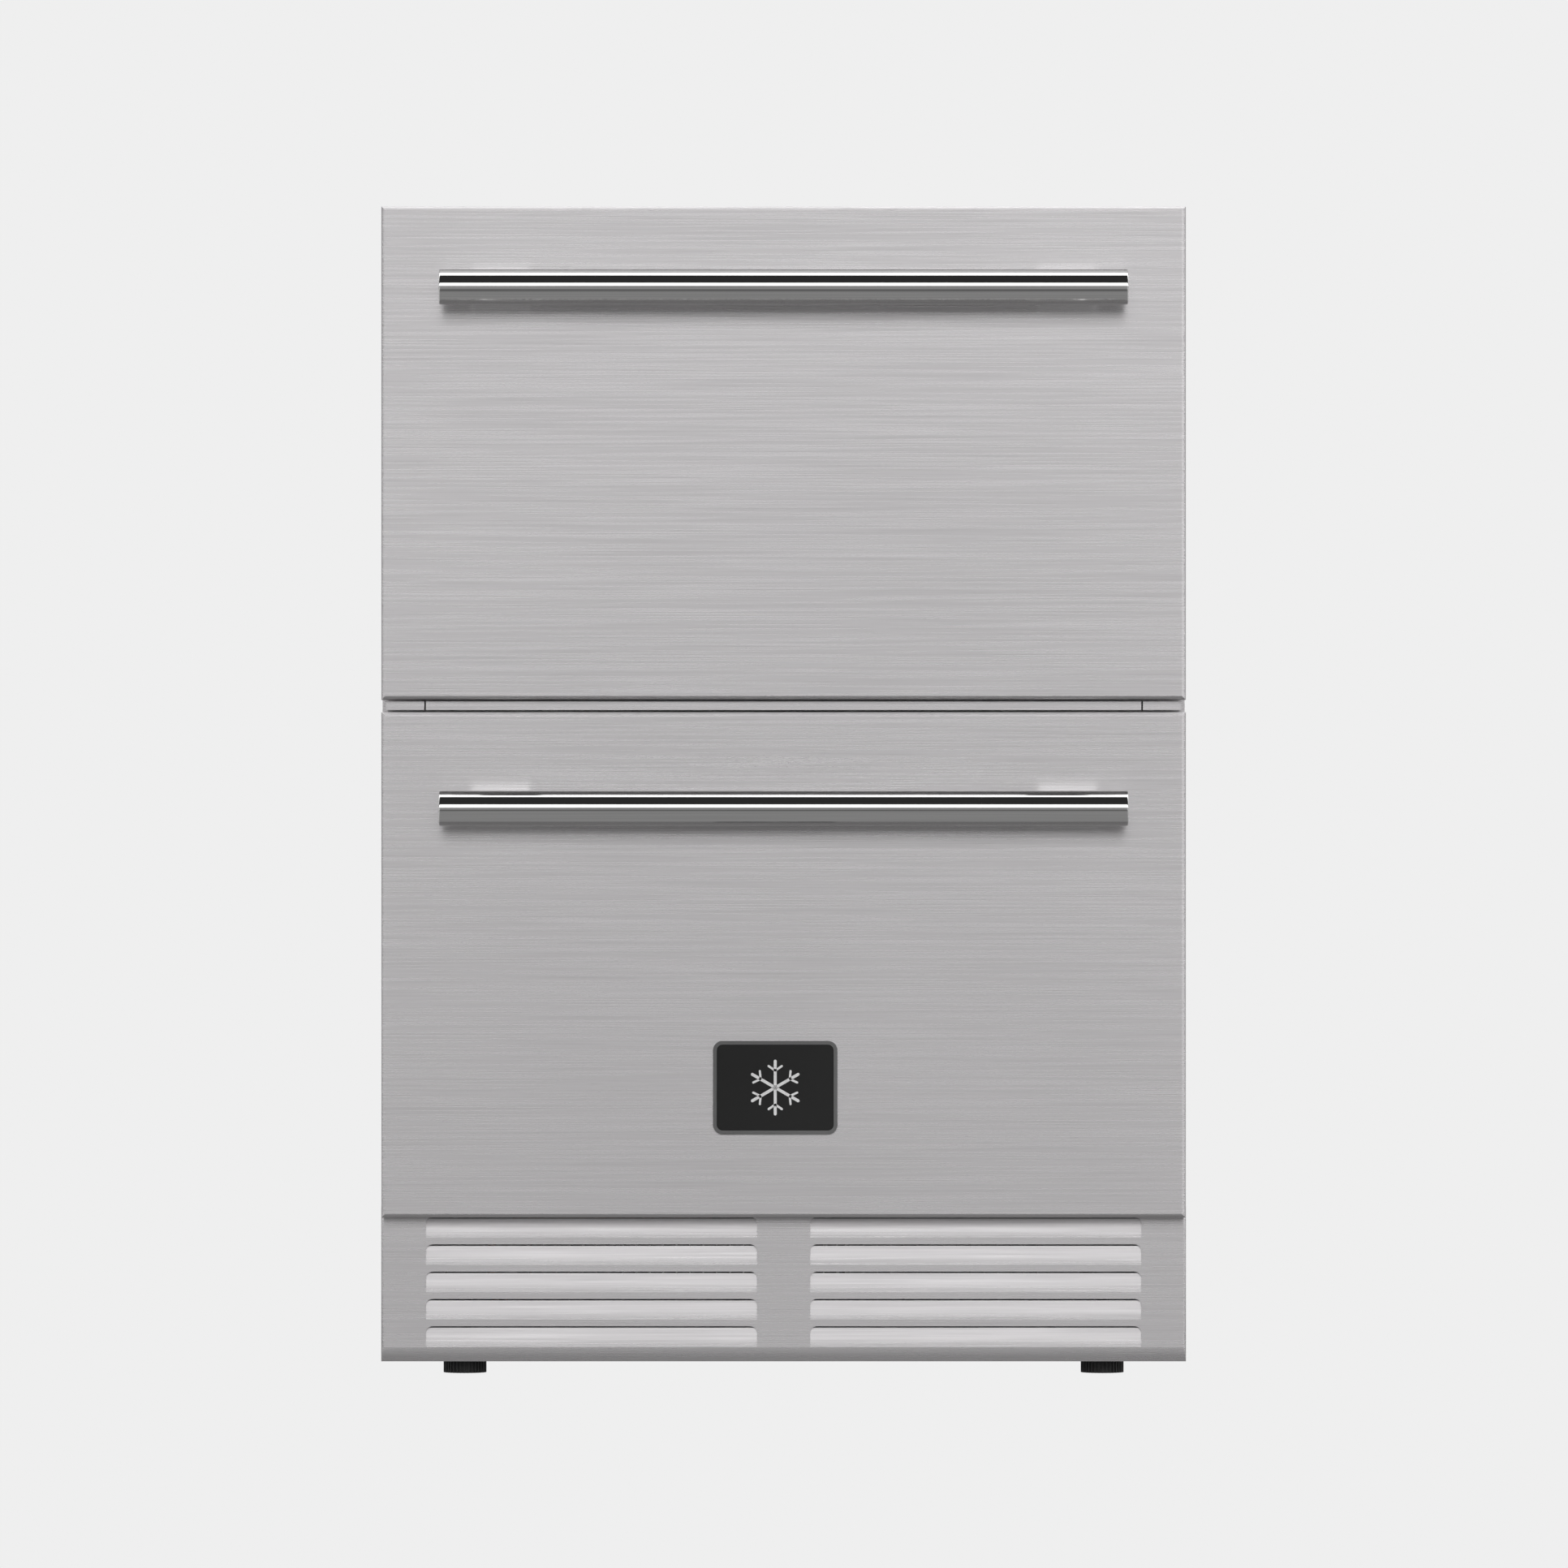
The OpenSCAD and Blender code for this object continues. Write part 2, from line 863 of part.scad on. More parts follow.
// Suction line from the evaporator down through the foam to the shell
module suction_line() {
    start = [comp_x, comp_y - comp_r - gap, 100];
    end = stub(evap_coil, evap_coil[3] - 1);
    pipe_run([
        start,
        [comp_x, 134, start[2]],
        [riser[0], 134, start[2]],
        [riser[0], riser[1], start[2]],
        [riser[0], riser[1], riser_top],
        [riser[0], end[1], riser_top],
        end
    ], suction_r);
}

module refrigerant_lines() {
    color(copper) {
        discharge_line();
        liquid_line();
        suction_line();
    }
}

// Tray that catches and evaporates the defrost water
module drip_tray() {
    color("black")
        difference() {
            box([-150, -105, case_z + 1.6], [60, 60, case_z + 18]);
            box([-148, -103, case_z + 4], [58, 58, case_z + 20]);
        }
}

// Recessed appliance inlet with three pins in the rear cover
module power_inlet() {
    in_y = y_back - 22;
    color("black")
        difference() {
            union() {
                box([-263.8, in_y, 46.2], [-236.2, y_back, 65.8]);
                box([-268, y_sheet - 2.1, 43], [-232, y_sheet - gap, 69]);
            }
            box([-261.8, in_y + 3, 48.2], [-238.2, y_back + cut, 63.8]);
        }
    color(zinc)
        for (dx = [-7, 0, 7])
            box([-250 + dx - 1, in_y + 2, 56 - 2.5 - (dx == 0 ? 2 : 0)],
                [-250 + dx + 1, y_back - 4, 56 + 2.5 - (dx == 0 ? 2 : 0)]);
}

// Cover over the evaporator with the fan's guard and the return air slots
module evaporator_cover() {
    front = 225;
    x = cavity_x - 4;
    low = step_z + 3;
    high = ceiling_z - 3;
    rear = liner_y - gap;
    color(white)
        difference() {
            box([-x, front, low], [x, rear, high]);
            box([-x + 2, front + 2.5, low + 2], [x - 2, rear + cut, high - 2]);
            along_y(front - cut, front + 4) {
                translate([evap_fan[0], evap_fan[2]])
                    difference() {
                        circle(r = 41);
                        for (ring = [10, 20, 30])
                            difference() {
                                circle(r = ring + 1.2);
                                circle(r = ring - 1.2);
                            }
                        for (k = [0 : 3])
                            rotate([0, 0, k * 45])
                                rect([-42, -1.5], [42, 1.5]);
                    }
                for (k = [-9 : 9])
                    round_rect([k * 22 - 6, low + 14], [k * 22 + 6, low + 44], 3);
            }
        }
}

// ---- Controls and lamp ----

module control_console() {
    low = ceiling_z - console_h;
    color(dark)
        difference() {
            box([-console_w / 2, console_y, low], [console_w / 2, console_y + console_d, ceiling_z - gap]);
            box([-console_w / 2 + 2.5, console_y + 3, low + 2.5],
                [console_w / 2 - 2.5, console_y + console_d - 2.5, ceiling_z + cut]);
            for (x = button_xs)
                translate([x, console_y - cut, button_z])
                    rotate([-90, 0, 0])
                        cylinder(h = 6, r = button_r + fit_gap);
            box([-22, console_y - cut, button_z - 8], [22, console_y + 1.6, button_z + 8]);
        }
}

module display_window() {
    color("midnightblue")
        box([-22 + gap, console_y, button_z - 8 + gap], [22 - gap, console_y + 1.5, button_z + 8 - gap]);
}

// Round push button with the collar that keeps it in the console
module button(x, dish) {
    color("gainsboro")
        translate([x, console_y, button_z])
            rotate([-90, 0, 0])
                difference() {
                    union() {
                        translate([0, 0, -1.6])
                            cylinder(h = 8, r = button_r);
                        translate([0, 0, 3 + gap])
                            cylinder(h = 1.5, r = button_r + 1.8);
                    }
                    translate([0, 0, -1.6 - cut])
                        cylinder(h = cut + 0.3, r = dish);
                }
}

module button_power() { button(button_xs[0], 3.2); }
module button_colder() { button(button_xs[1], 2.6); }
module button_warmer() { button(button_xs[2], 2.6); }
module button_light() { button(button_xs[3], 3.2); }

// Strip lamp in the ceiling of the cavity
module led_lamp() {
    color(white)
        across_x(-110, 110)
            polygon([
                [-96, ceiling_z - gap],
                [-92, ceiling_z - 9],
                [-72, ceiling_z - 9],
                [-68, ceiling_z - gap]
            ]);
}

// ---- Telescopic slides ----

// Upper half of a lipped channel: the web stands at x0 and the flange reaches to x1
module channel_half(x0, x1, half_h, lip) {
    toward = sign(x1 - x0);
    rect([min(x0, x0 + toward * rail_t), 0], [max(x0, x0 + toward * rail_t), half_h]);
    rect([min(x0, x1), half_h - rail_t], [max(x0, x1), half_h]);
    rect([min(x1, x1 - toward * rail_t), min(half_h, half_h + lip)],
         [max(x1, x1 - toward * rail_t), max(half_h, half_h + lip)]);
    // Keeps the lip joined to the flange
    rect([min(x1, x1 - toward * rail_t), half_h - rail_t],
         [max(x1, x1 - toward * rail_t), half_h]);
}

// Pair of slide members, one on each side
module slides(x0, x1, half_h, lip, z, y0, y1) {
    color(zinc)
        both_sides()
            along_y(y0, y1)
                translate([0, z])
                    for (flip = [0, 1])
                        mirror([0, flip])
                            channel_half(x0, x1, half_h, lip);
}

module cabinet_rails(z, length) {
    slides(cavity_x - gap, bin_x + 4, rail_cab_h, -4, z, rail_y, rail_y + length);
}

module mid_rails(z, length) {
    slides(cavity_x - 1.8, bin_x + 6, rail_mid_h, -3.8, z, rail_y, rail_y + length);
}

module drawer_rails(z, length) {
    slides(bin_x + gap, cavity_x - 3.6, rail_drw_h, 3, z, rail_y, rail_y + length);
}

module upper_cabinet_rails() { cabinet_rails(upper_rail_z, upper_rail_len); }
module upper_mid_rails() { mid_rails(upper_rail_z, upper_rail_len); }
module upper_drawer_rails() { drawer_rails(upper_rail_z, upper_rail_len); }
module lower_cabinet_rails() { cabinet_rails(lower_rail_z, lower_rail_len); }
module lower_mid_rails() { mid_rails(lower_rail_z, lower_rail_len); }
module lower_drawer_rails() { drawer_rails(lower_rail_z, lower_rail_len); }

// ---- Drawer fronts ----

post_w = 48;
post_h = 25;
post_r = 6;
handle_screw_dx = 14;

// Places of the two screws in each standoff
module handle_screw_places(z) {
    for (side = [-1, 1], dx = [-handle_screw_dx, handle_screw_dx])
        translate([side * post_x + dx, y_face, z])
            rotate([90, 0, 0])
                children();
}

// Side view of the skin, shrunk inwards by a thickness, with round front corners
module skin_profile(low, high, shrink, r, back) {
    a = low + shrink;
    b = high - shrink;
    front = y_face + shrink;
    rect([front + r, a], [back, b]);
    rect([front, a + r], [front + 2 * r, b - r]);
    for (p = [a + r, b - r])
        translate([front + r, p])
            circle(r = r);
}

// Block with round edges all round its front face
module skin_block(z0, z1, shrink, back) {
    r = skin_edge_r - shrink;
    intersection() {
        across_x(-front_w / 2 + shrink, front_w / 2 - shrink)
            skin_profile(z0, z1, shrink, r, back);
        along_z(z0 + shrink, z1 - shrink)
            mirror([1, -1])
                skin_profile(-front_w / 2, front_w / 2, shrink, r, back);
    }
}

// Folded steel skin: front sheet, four sides and the lip that the inner panel meets
module front_skin(z0, z1, handle_z) {
    lip = panel_inset + 2;
    color(steel)
        difference() {
            skin_block(z0, z1, 0, y_skin_back);
            skin_block(z0, z1, skin_t, y_skin_back - skin_t);
            box([-front_w / 2 + lip, y_skin_back - 4, z0 + lip],
                [front_w / 2 - lip, y_skin_back + cut, z1 - lip]);
            handle_screw_places(handle_z)
                translate([0, 0, -5])
                    cylinder(h = 10, r = 2.75);
        }
}

module front_foam(z0, z1, handle_z) {
    shrink = skin_t + gap;
    neck = panel_inset + 2 + gap;
    color("khaki")
        difference() {
            union() {
                skin_block(z0, z1, shrink, y_skin_back - skin_t - gap);
                box([-front_w / 2 + neck, y_skin_back - 4, z0 + neck],
                    [front_w / 2 - neck, y_panel_back - panel_t - gap, z1 - neck]);
            }
            handle_screw_places(handle_z)
                translate([0, 0, -7])
                    cylinder(h = 10, r = 5);
        }
}

// Tray-shaped inner panel that faces the cavity
module inner_panel(z0, z1) {
    color(white)
        difference() {
            box([-front_w / 2 + panel_inset, y_skin_back, z0 + panel_inset],
                [front_w / 2 - panel_inset, y_panel_back, z1 - panel_inset]);
            box([-front_w / 2 + panel_inset + panel_t, y_skin_back - cut, z0 + panel_inset + panel_t],
                [front_w / 2 - panel_inset - panel_t, y_panel_back - panel_t, z1 - panel_inset - panel_t]);
        }
}

// Square ring between two distances from the edge of the inner panel
module gasket_ring(z0, z1, outer, inner, y0, y1) {
    half = front_w / 2 - panel_inset;
    low = z0 + panel_inset;
    high = z1 - panel_inset;
    along_y(y0, y1)
        difference() {
            rect([-half + outer, low + outer], [half - outer, high - outer]);
            rect([-half + inner, low + inner], [half - inner, high - inner]);
        }
}

// Magnetic gasket: base strip, bellows neck and sealing strip
module gasket(z0, z1) {
    y0 = y_panel_back + gap;
    y1 = y_cab - 2 * gap;
    color("darkgray")
        union() {
            gasket_ring(z0, z1, 1, 12.4, y0, y0 + 2.6);
            gasket_ring(z0, z1, 3.6, 9.8, y0 + 2, y1 - 2);
            gasket_ring(z0, z1, 1, 12.4, y1 - 3, y1);
        }
}

// Polished tube with flat ends whose rims are slightly rounded
module handle_bar(z) {
    rim = 1;
    color(steel)
        translate([0, y_handle, z])
            rotate([0, 90, 0])
                rotate_extrude()
                    union() {
                        rect([0, -handle_len / 2], [handle_r - rim, handle_len / 2]);
                        rect([0, -handle_len / 2 + rim], [handle_r, handle_len / 2 - rim]);
                        for (p = [-handle_len / 2 + rim, handle_len / 2 - rim])
                            translate([handle_r - rim, p])
                                circle(r = rim);
                    }
}

// Standoffs with a saddle that fits the tube
module handle_posts(z) {
    color(steel)
        difference() {
            for (side = [-1, 1])
                translate([side * post_x, 0, z])
                    along_y(y_handle + 9, y_face)
                        round_rect([-post_w / 2, -post_h / 2], [post_w / 2, post_h / 2], post_r);
            translate([-handle_len / 2, y_handle, z])
                rotate([0, 90, 0])
                    cylinder(h = handle_len, r = handle_r + fit_gap);
            handle_screw_places(z)
                translate([0, 0, -cut])
                    cylinder(h = 13, r = 2.5);
        }
}

module handle_screws(z) {
    color(zinc)
        handle_screw_places(z) {
            translate([0, 0, -skin_t - 4.1])
                difference() {
                    cylinder(h = 4, r = 4.4);
                    translate([0, 0, -cut])
                        cylinder(h = 3, r = 2, $fn = 6);
                }
            translate([0, 0, -skin_t - 1])
                cylinder(h = 12, r = 2.4);
        }
}

// Open bin with a folded rim along its sides and back
module bin(z, height, back) {
    y0 = y_panel_back + gap;
    color(zinc)
        difference() {
            union() {
                along_z(z, z + height)
                    round_rect([-bin_x, y0], [bin_x, back], bin_corner);
                along_z(z + height - bin_t, z + height)
                    round_rect([-bin_x - bin_rim, y0], [bin_x + bin_rim, back + bin_rim], bin_corner);
            }
            along_z(z + bin_t, z + height + cut)
                round_rect([-bin_x + bin_t, y0 + bin_t], [bin_x - bin_t, back - bin_t], bin_corner - bin_t);
        }
}

upper_z0 = upper_front_z;
upper_z1 = overall_h;
lower_z0 = lower_front_z;
lower_z1 = lower_front_z + lower_front_h;

module upper_skin() { front_skin(upper_z0, upper_z1, upper_handle_z); }
module upper_foam() { front_foam(upper_z0, upper_z1, upper_handle_z); }
module upper_inner_panel() { inner_panel(upper_z0, upper_z1); }
module upper_gasket() { gasket(upper_z0, upper_z1); }
module upper_handle_bar() { handle_bar(upper_handle_z); }
module upper_handle_posts() { handle_posts(upper_handle_z); }
module upper_handle_screws() { handle_screws(upper_handle_z); }
module upper_bin() { bin(upper_bin_z, upper_bin_h, upper_bin_y); }

module lower_skin() { front_skin(lower_z0, lower_z1, lower_handle_z); }
module lower_foam() { front_foam(lower_z0, lower_z1, lower_handle_z); }
module lower_inner_panel() { inner_panel(lower_z0, lower_z1); }
module lower_gasket() { gasket(lower_z0, lower_z1); }
module lower_handle_bar() { handle_bar(lower_handle_z); }
module lower_handle_posts() { handle_posts(lower_handle_z); }
module lower_handle_screws() { handle_screws(lower_handle_z); }
module lower_bin() { bin(lower_bin_z, lower_bin_h, lower_bin_y); }

// ---- Badge ----

badge_border = 2.7;
badge_d = 3;

// Rounded outline of the badge, shrunk inwards
module badge_outline(shrink, r) {
    translate([badge_x, badge_z])
        round_rect([-badge_w / 2 + shrink, -badge_h / 2 + shrink],
                   [badge_w / 2 - shrink, badge_h / 2 - shrink], r);
}

module badge_frame() {
    color("gray")
        along_y(y_face - badge_d, y_face)
            difference() {
                badge_outline(0, 7);
                badge_outline(badge_border, 4.5);
            }
}

module badge_face() {
    color("black")
        along_y(y_face - badge_d + 0.8, y_face)
            badge_outline(badge_border + 0.05, 4.4);
}

side_panel_left();
side_panel_right();
top_panel();
front_sill();
mullion();
back_panel();
base_pan();
machine_deck();
foam_core();
inner_liner();
toe_grille();
rear_cover();
panel_screws();
compressor();
compressor_grommets();
condenser_coil();
condenser_fan_frame();
refrigerant_lines();
drip_tray();
power_inlet();
evaporator_coil();
evaporator_cover();
evaporator_fan_frame();
control_console();
display_window();
led_lamp();
upper_cabinet_rails();
lower_cabinet_rails();
condenser_fan_rotor();
evaporator_fan_rotor();
button_power();
button_colder();
button_warmer();
button_light();
foot_front_left();
foot_front_right();
foot_rear_left();
foot_rear_right();
upper_mid_rails();
lower_mid_rails();
upper_skin();
upper_foam();
upper_inner_panel();
upper_gasket();
upper_handle_bar();
upper_handle_posts();
upper_handle_screws();
upper_bin();
upper_drawer_rails();
lower_skin();
lower_foam();
lower_inner_panel();
lower_gasket();
lower_handle_bar();
lower_handle_posts();
lower_handle_screws();
lower_bin();
lower_drawer_rails();
badge_frame();
badge_face();
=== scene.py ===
import math

import bmesh
import bpy
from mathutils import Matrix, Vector


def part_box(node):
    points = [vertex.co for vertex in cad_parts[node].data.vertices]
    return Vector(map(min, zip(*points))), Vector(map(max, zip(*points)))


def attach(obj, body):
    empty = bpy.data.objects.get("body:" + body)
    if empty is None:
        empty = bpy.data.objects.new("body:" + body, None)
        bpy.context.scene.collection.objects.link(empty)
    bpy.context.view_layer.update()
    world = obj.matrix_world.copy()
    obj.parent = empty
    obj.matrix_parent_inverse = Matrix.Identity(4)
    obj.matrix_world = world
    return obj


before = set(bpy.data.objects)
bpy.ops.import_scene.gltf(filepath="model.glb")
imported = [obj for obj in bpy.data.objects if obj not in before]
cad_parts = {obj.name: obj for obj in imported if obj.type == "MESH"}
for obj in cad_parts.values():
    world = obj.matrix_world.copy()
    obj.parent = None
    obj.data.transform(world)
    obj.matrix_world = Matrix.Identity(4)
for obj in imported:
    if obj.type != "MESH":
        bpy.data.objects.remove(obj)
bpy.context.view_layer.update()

# ---- Settings: lengths in metres, angles in degrees ----

FRONT_DISTANCE = 8.0        # camera to the drawer fronts
CAMERA_HEIGHT = 0.4393
CAMERA_ACROSS = 0.0003
SENSOR_MM = 36
FOCAL_MM = 248.4
CLIP_END = 100.0

PAPER = 0.863               # brightness of the floor and background, as the camera sees them
FLOOR_RADIUS = 30.0
FLOOR_DROP = 0.0005         # floor below the feet, so that they don't share a surface
FLOOR_SEGMENTS = 64

# Floor as reflections see it: brightness falls from NEAR to RING, then rises by FAR
FLOOR_NEAR = 0.27
FLOOR_RING = 0.12
FLOOR_FAR = 0.17
FLOOR_REACHES = (1.2, 2.1, 3.4)
FLOOR_AWAY = 0.3            # added beside and behind the fridge
BESIDE_FROM, BESIDE_TO = 0.5, 1.0
BEHIND_FROM, BEHIND_TO = 0.2, 0.8

# Bands of light in the surroundings, by elevation from the level in front, over to the back
WALLS = {"low": -30.0, "high": 6.0, "edge": 3.0, "level": 0.17}
KEY = {"low": 4.6, "high": 23.6, "edge": 2.0, "level": 2.08}
TOP = {"low": 79.5, "high": 105.0, "edge": 2.5, "level": 2.8}
BACK = {"low": 112.0, "high": 176.0, "edge": 6.0, "level": 0.65}
DIM = 0.03                  # light from everywhere else
SIDE_REACH = 0.4            # how far to each side the light goes on changing
SIDE_LEFT, SIDE_RIGHT = 0.86, 1.14

# Steel grain: noise scales per metre along and across the brushing
LEVEL_GRAIN = ((9, 9, 0), (0, 0, 1000))
TOP_GRAIN = ((17, 0, 0), (0, 1000, 1000))
STEEL_STRETCH = 0.8
STEEL_TURN = 0.25           # a quarter turn: reflections stretch up and down
# Painted highlight on the upturned rounded folds of the steel: its colour, its metallic and the roughness it
# adds
FOLD_PAINTED_HIGHLIGHT = 0.95
FOLD_HIGHLIGHT_METALLIC = 0.25
FOLD_ROUGHER = 0.12

EMBLEM_ARMS = 6
EMBLEM_START = 30
ARM_REACH = 0.021
ARM_GAP = 0.003
ARM_WIDTH = 0.0022
BRANCH_LENGTH = 0.0055
BRANCH_WIDTH = 0.0016
BRANCH_AT = 0.0125
BRANCH_OUT = 0.0032
BRANCH_ANGLE = 55
EMBLEM_DEPTH = 0.0006
EMBLEM_SUNK = 0.0002
END_STEPS = 8               # facets in each round end of a bar


# ---- Node helpers ----

class Nodes:
    """Short way to build one node tree."""

    def __init__(self, tree):
        self.tree = tree
        tree.nodes.clear()

    def add(self, kind, **values):
        node = self.tree.nodes.new(kind)
        for name, value in values.items():
            setattr(node, name, value)
        return node

    def put(self, socket, value):
        if isinstance(value, bpy.types.NodeSocket):
            self.tree.links.new(value, socket)
        else:
            socket.default_value = value

    def maths(self, operation, a, b=0.0):
        node = self.add("ShaderNodeMath", operation=operation)
        for socket, value in zip(node.inputs, (a, b)):
            self.put(socket, value)
        return node.outputs[0]

    def ramp(self, value, low, high, out_low, out_high, smooth=True):
        kind = "SMOOTHSTEP" if smooth else "LINEAR"
        node = self.add("ShaderNodeMapRange", interpolation_type=kind)
        for socket, item in zip(node.inputs, (value, low, high, out_low, out_high)):
            self.put(socket, item)
        return node.outputs[0]

    def mix(self, factor, a, b):
        node = self.add("ShaderNodeMix", data_type="RGBA")
        self.put(node.inputs[0], factor)
        self.put(node.inputs[6], a)
        self.put(node.inputs[7], b)
        return node.outputs[2]

    def scaled(self, scale):
        """Object coordinates, in metres, times a scale for each axis."""
        coords = self.add("ShaderNodeTexCoord").outputs["Object"]
        node = self.add("ShaderNodeVectorMath", operation="MULTIPLY")
        self.put(node.inputs[0], coords)
        self.put(node.inputs[1], scale)
        return node.outputs[0]

    def noise(self, scale, detail=2.0, rough=0.5):
        node = self.add("ShaderNodeTexNoise")
        self.put(node.inputs["Vector"], self.scaled(scale))
        node.inputs["Scale"].default_value = 1.0
        node.inputs["Detail"].default_value = detail
        node.inputs["Roughness"].default_value = rough
        return node.outputs[0]

    def cells(self, scale):
        node = self.add("ShaderNodeTexVoronoi")
        self.put(node.inputs["Vector"], self.scaled(scale))
        node.inputs["Scale"].default_value = 1.0
        return node

    def bump(self, height, strength, distance=0.0005):
        node = self.add("ShaderNodeBump")
        node.inputs["Strength"].default_value = strength
        node.inputs["Distance"].default_value = distance
        self.put(node.inputs["Height"], height)
        return node.outputs[0]


def grey(value):
    return (value, value, value, 1.0)


def material(name):
    """New material with one Principled shader: (nodes, shader, material)."""
    made = bpy.data.materials.new(name)
    made.use_nodes = True
    nodes = Nodes(made.node_tree)
    shader = nodes.add("ShaderNodeBsdfPrincipled")
    output = nodes.add("ShaderNodeOutputMaterial")
    nodes.put(output.inputs["Surface"], shader.outputs[0])
    return nodes, shader, made


# ---- Metals ----

def brushed_steel(name, along, across, tone=0.60, roughness=0.28, spread=0.09,
                  stretch=STEEL_STRETCH):
    """Steel with a fine straight grain: along and across are the grain's scales on X, Y and Z.

    stretch draws its reflections out across the grain, as level brushing on an upright face does.
    """
    nodes, shader, made = material(name)
    fine = nodes.noise([a + b for a, b in zip(along, across)], detail=2.0, rough=0.6)
    broad = nodes.noise([0.5 * a + 0.45 * b for a, b in zip(along, across)], detail=2.0)
    cloud = nodes.noise((3.0, 3.0, 3.0), detail=2.0)
    grain = nodes.maths("ADD", nodes.maths("MULTIPLY", fine, 0.65),
                        nodes.maths("MULTIPLY", broad, 0.35))
    light = nodes.ramp(grain, 0.3, 0.7, tone * (1 - spread), tone * (1 + spread), smooth=False)
    light = nodes.maths("MULTIPLY", light, nodes.ramp(cloud, 0.3, 0.7, 0.985, 1.015))
    # Painted highlight: the rounded upper folds, where they turn up and face forward, are paler, less
    # metallic and duller than the flats on either side of them, standing in for the light they catch
    normal = nodes.add("ShaderNodeSeparateXYZ")
    nodes.put(normal.inputs[0], nodes.add("ShaderNodeNewGeometry").outputs["Normal"])
    facing = nodes.maths("MULTIPLY", normal.outputs[1], -1.0)
    painted_highlight_fold = nodes.maths("MULTIPLY", nodes.ramp(normal.outputs[2], 0.05, 0.35, 0.0, 1.0),
                       nodes.ramp(facing, 0.02, 0.2, 0.0, 1.0))
    light = nodes.maths("ADD", light, nodes.maths("MULTIPLY", painted_highlight_fold, FOLD_PAINTED_HIGHLIGHT - tone))
    colour = nodes.add("ShaderNodeCombineColor")
    nodes.put(colour.inputs[0], nodes.maths("MULTIPLY", light, 1.01))
    nodes.put(colour.inputs[1], nodes.maths("MULTIPLY", light, 0.985))
    nodes.put(colour.inputs[2], light)
    nodes.put(shader.inputs["Base Color"], colour.outputs[0])
    nodes.put(shader.inputs["Metallic"], nodes.ramp(painted_highlight_fold, 0.0, 1.0, 1.0, FOLD_HIGHLIGHT_METALLIC, smooth=False))
    shader.inputs["Anisotropic"].default_value = stretch
    shader.inputs["Anisotropic Rotation"].default_value = STEEL_TURN
    rough = nodes.ramp(grain, 0.3, 0.7, roughness + 0.02, roughness - 0.02)
    rough = nodes.maths("ADD", rough, nodes.maths("MULTIPLY", painted_highlight_fold, FOLD_ROUGHER))
    nodes.put(shader.inputs["Roughness"], rough)
    nodes.put(shader.inputs["Normal"], nodes.bump(grain, 0.03, 0.0001))
    return made


def polished_steel():
    """Bright tube with faint lengthwise polishing lines and a few smears."""
    nodes, shader, made = material("polished_steel")
    lines = nodes.noise((6, 900, 900), detail=2.0)
    smear = nodes.noise((14, 40, 40), detail=3.0)
    tone = nodes.ramp(lines, 0.3, 0.7, 0.70, 0.76)
    nodes.put(shader.inputs["Base Color"], nodes.mix(tone, grey(0.0), (1.0, 0.995, 0.99, 1.0)))
    shader.inputs["Metallic"].default_value = 1.0
    rough = nodes.maths("ADD", nodes.ramp(smear, 0.45, 0.75, 0.0, 0.03),
                        nodes.ramp(lines, 0.3, 0.7, 0.05, 0.07))
    nodes.put(shader.inputs["Roughness"], rough)
    nodes.put(shader.inputs["Normal"], nodes.bump(lines, 0.01, 0.0001))
    return made


def zinc_steel():
    """Galvanised sheet with its spangle."""
    nodes, shader, made = material("zinc_steel")
    cells = nodes.cells((140, 140, 140))
    fine = nodes.noise((600, 600, 600))
    tone = nodes.ramp(cells.outputs["Color"], 0.0, 1.0, 0.42, 0.56, smooth=False)
    nodes.put(shader.inputs["Base Color"], nodes.mix(tone, grey(0.05), (0.92, 0.95, 0.98, 1.0)))
    shader.inputs["Metallic"].default_value = 0.9
    nodes.put(shader.inputs["Roughness"], nodes.ramp(cells.outputs["Color"], 0.0, 1.0, 0.34, 0.52))
    nodes.put(shader.inputs["Normal"], nodes.bump(fine, 0.1, 0.0002))
    return made


def aluminium():
    """Drawn aluminium with vertical die lines."""
    nodes, shader, made = material("aluminium")
    lines = nodes.noise((260, 260, 5), detail=2.0)
    spots = nodes.noise((30, 30, 30), detail=3.0)
    tone = nodes.ramp(lines, 0.3, 0.7, 0.55, 0.68)
    nodes.put(shader.inputs["Base Color"], nodes.mix(tone, grey(0.05), (0.98, 0.99, 1.0, 1.0)))
    shader.inputs["Metallic"].default_value = 1.0
    nodes.put(shader.inputs["Roughness"], nodes.ramp(spots, 0.3, 0.7, 0.34, 0.38))
    nodes.put(shader.inputs["Normal"], nodes.bump(lines, 0.1, 0.0002))
    return made


def copper():
    """Tube copper that has dulled in patches."""
    nodes, shader, made = material("copper")
    patches = nodes.noise((40, 40, 40), detail=4.0)
    nodes.put(shader.inputs["Base Color"], nodes.mix(
        nodes.ramp(patches, 0.35, 0.7, 0.0, 1.0), (0.75, 0.38, 0.22, 1.0), (0.36, 0.17, 0.1, 1.0)))
    shader.inputs["Metallic"].default_value = 1.0
    nodes.put(shader.inputs["Roughness"], nodes.ramp(patches, 0.35, 0.7, 0.22, 0.45))
    return made


# ---- Plastics, rubber, paint ----

